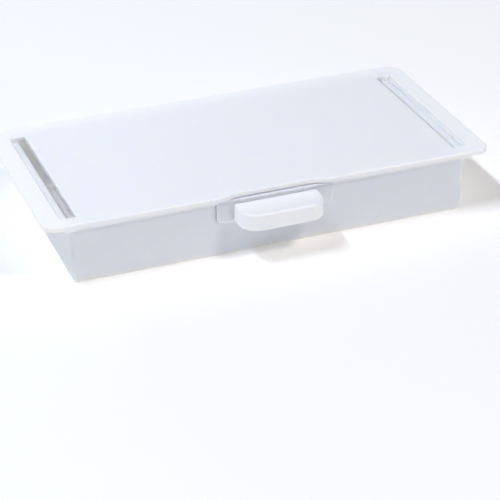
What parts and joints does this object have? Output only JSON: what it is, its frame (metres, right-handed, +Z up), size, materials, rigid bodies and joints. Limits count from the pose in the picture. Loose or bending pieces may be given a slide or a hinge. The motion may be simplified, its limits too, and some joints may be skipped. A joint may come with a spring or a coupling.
{
  "type": "under desk drawer",
  "caption": "Shallow drawer hanging on rails under a flat plate that sticks beneath a desk, with side slots over the rails and a hollow finger pull at the front.",
  "frame": {"origin": "centre of the plate's top face, the face that sticks to the underside of the desk", "axes": "+Z up into the desk, -Y towards the user, the way the tray opens, +X to the right"},
  "size_m": [0.345, 0.1879, 0.05],
  "materials": {
    "plate_plastic": "fine matt grain, white",
    "tray_plastic": "satin, white",
    "handle_plastic": "satin, white"
  },
  "bodies": {
    "mount": {"top_plate": "plate_plastic"},
    "drawer": {"drawer_tray": "tray_plastic", "handle": "handle_plastic"}
  },
  "joints": [
    {"name": "drawer_slide", "type": "slide", "parent": "mount", "child": "drawer", "axis": [0, -1, 0], "range_m": [0, 0.108]}
  ]
}
